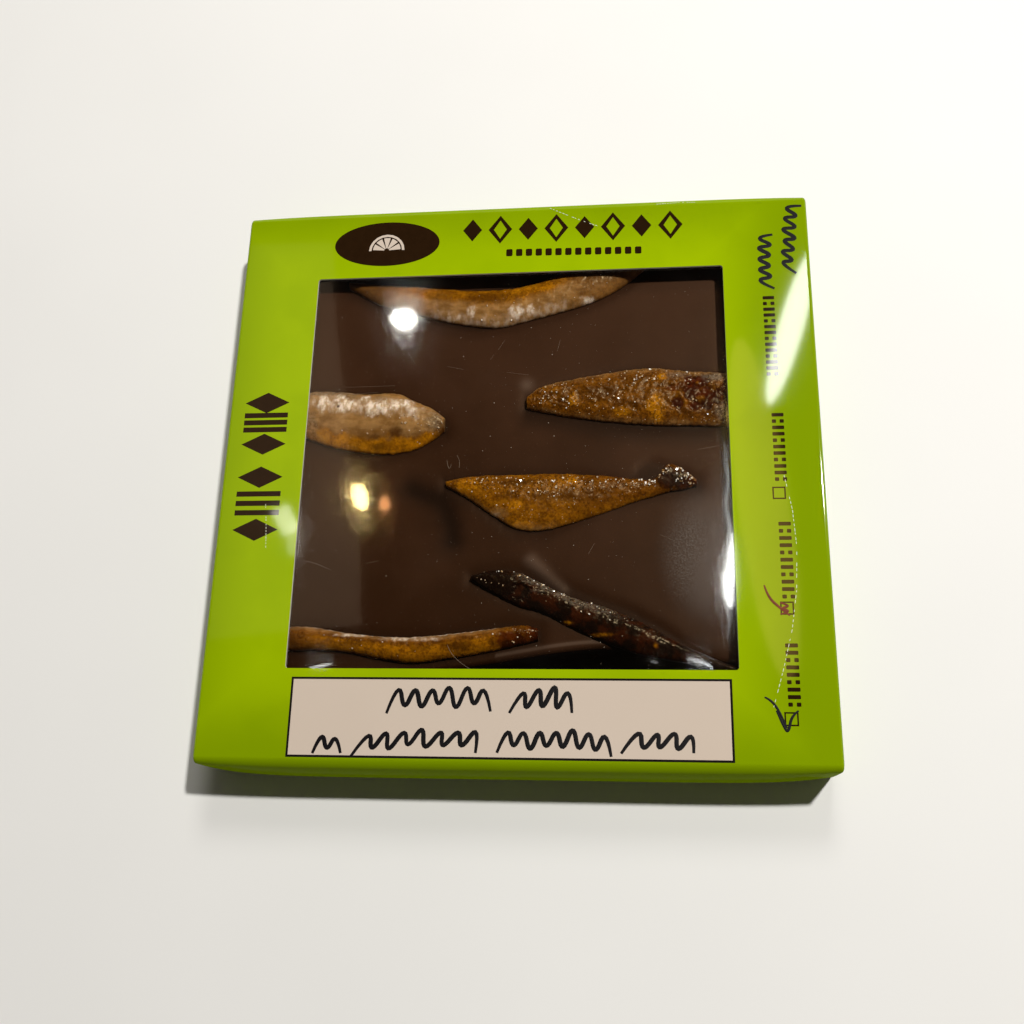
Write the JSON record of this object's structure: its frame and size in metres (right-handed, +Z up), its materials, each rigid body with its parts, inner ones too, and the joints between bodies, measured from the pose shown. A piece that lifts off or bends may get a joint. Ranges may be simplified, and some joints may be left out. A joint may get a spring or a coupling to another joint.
{
  "type": "orange peel chocolate bar in a window carton",
  "caption": "Shut window carton lying flat; its clear film shows a dark chocolate slab set with strips of candied orange peel.",
  "frame": {"origin": "middle of the carton's underside, on the surface that it lies on", "axes": "+Z up through the window; +Y from the writing panel's edge towards the far closure; +X to the right as the window is seen from the writing panel's side"},
  "size_m": [0.12, 0.1214, 0.013],
  "materials": {
    "printed_board": "lime green paperboard with a glossy laminate, white at its cut edges",
    "clear_film": "thin clear window film, slightly wavy, dusty and scratched",
    "dark_chocolate": "smooth dark chocolate with a soft sheen",
    "candied_peel": "translucent candied orange rind and pale pith with sugar crystals",
    "dark_candied_peel": "dark red-brown syrupy candied rind"
  },
  "bodies": {
    "root": {"carton": "printed_board", "window_film": "clear_film", "chocolate_slab": "dark_chocolate", "peel_top": "candied_peel", "peel_left": "candied_peel", "peel_right": "candied_peel", "peel_centre": "candied_peel", "peel_dark": "dark_candied_peel", "peel_near": "candied_peel"}
  },
  "joints": []
}
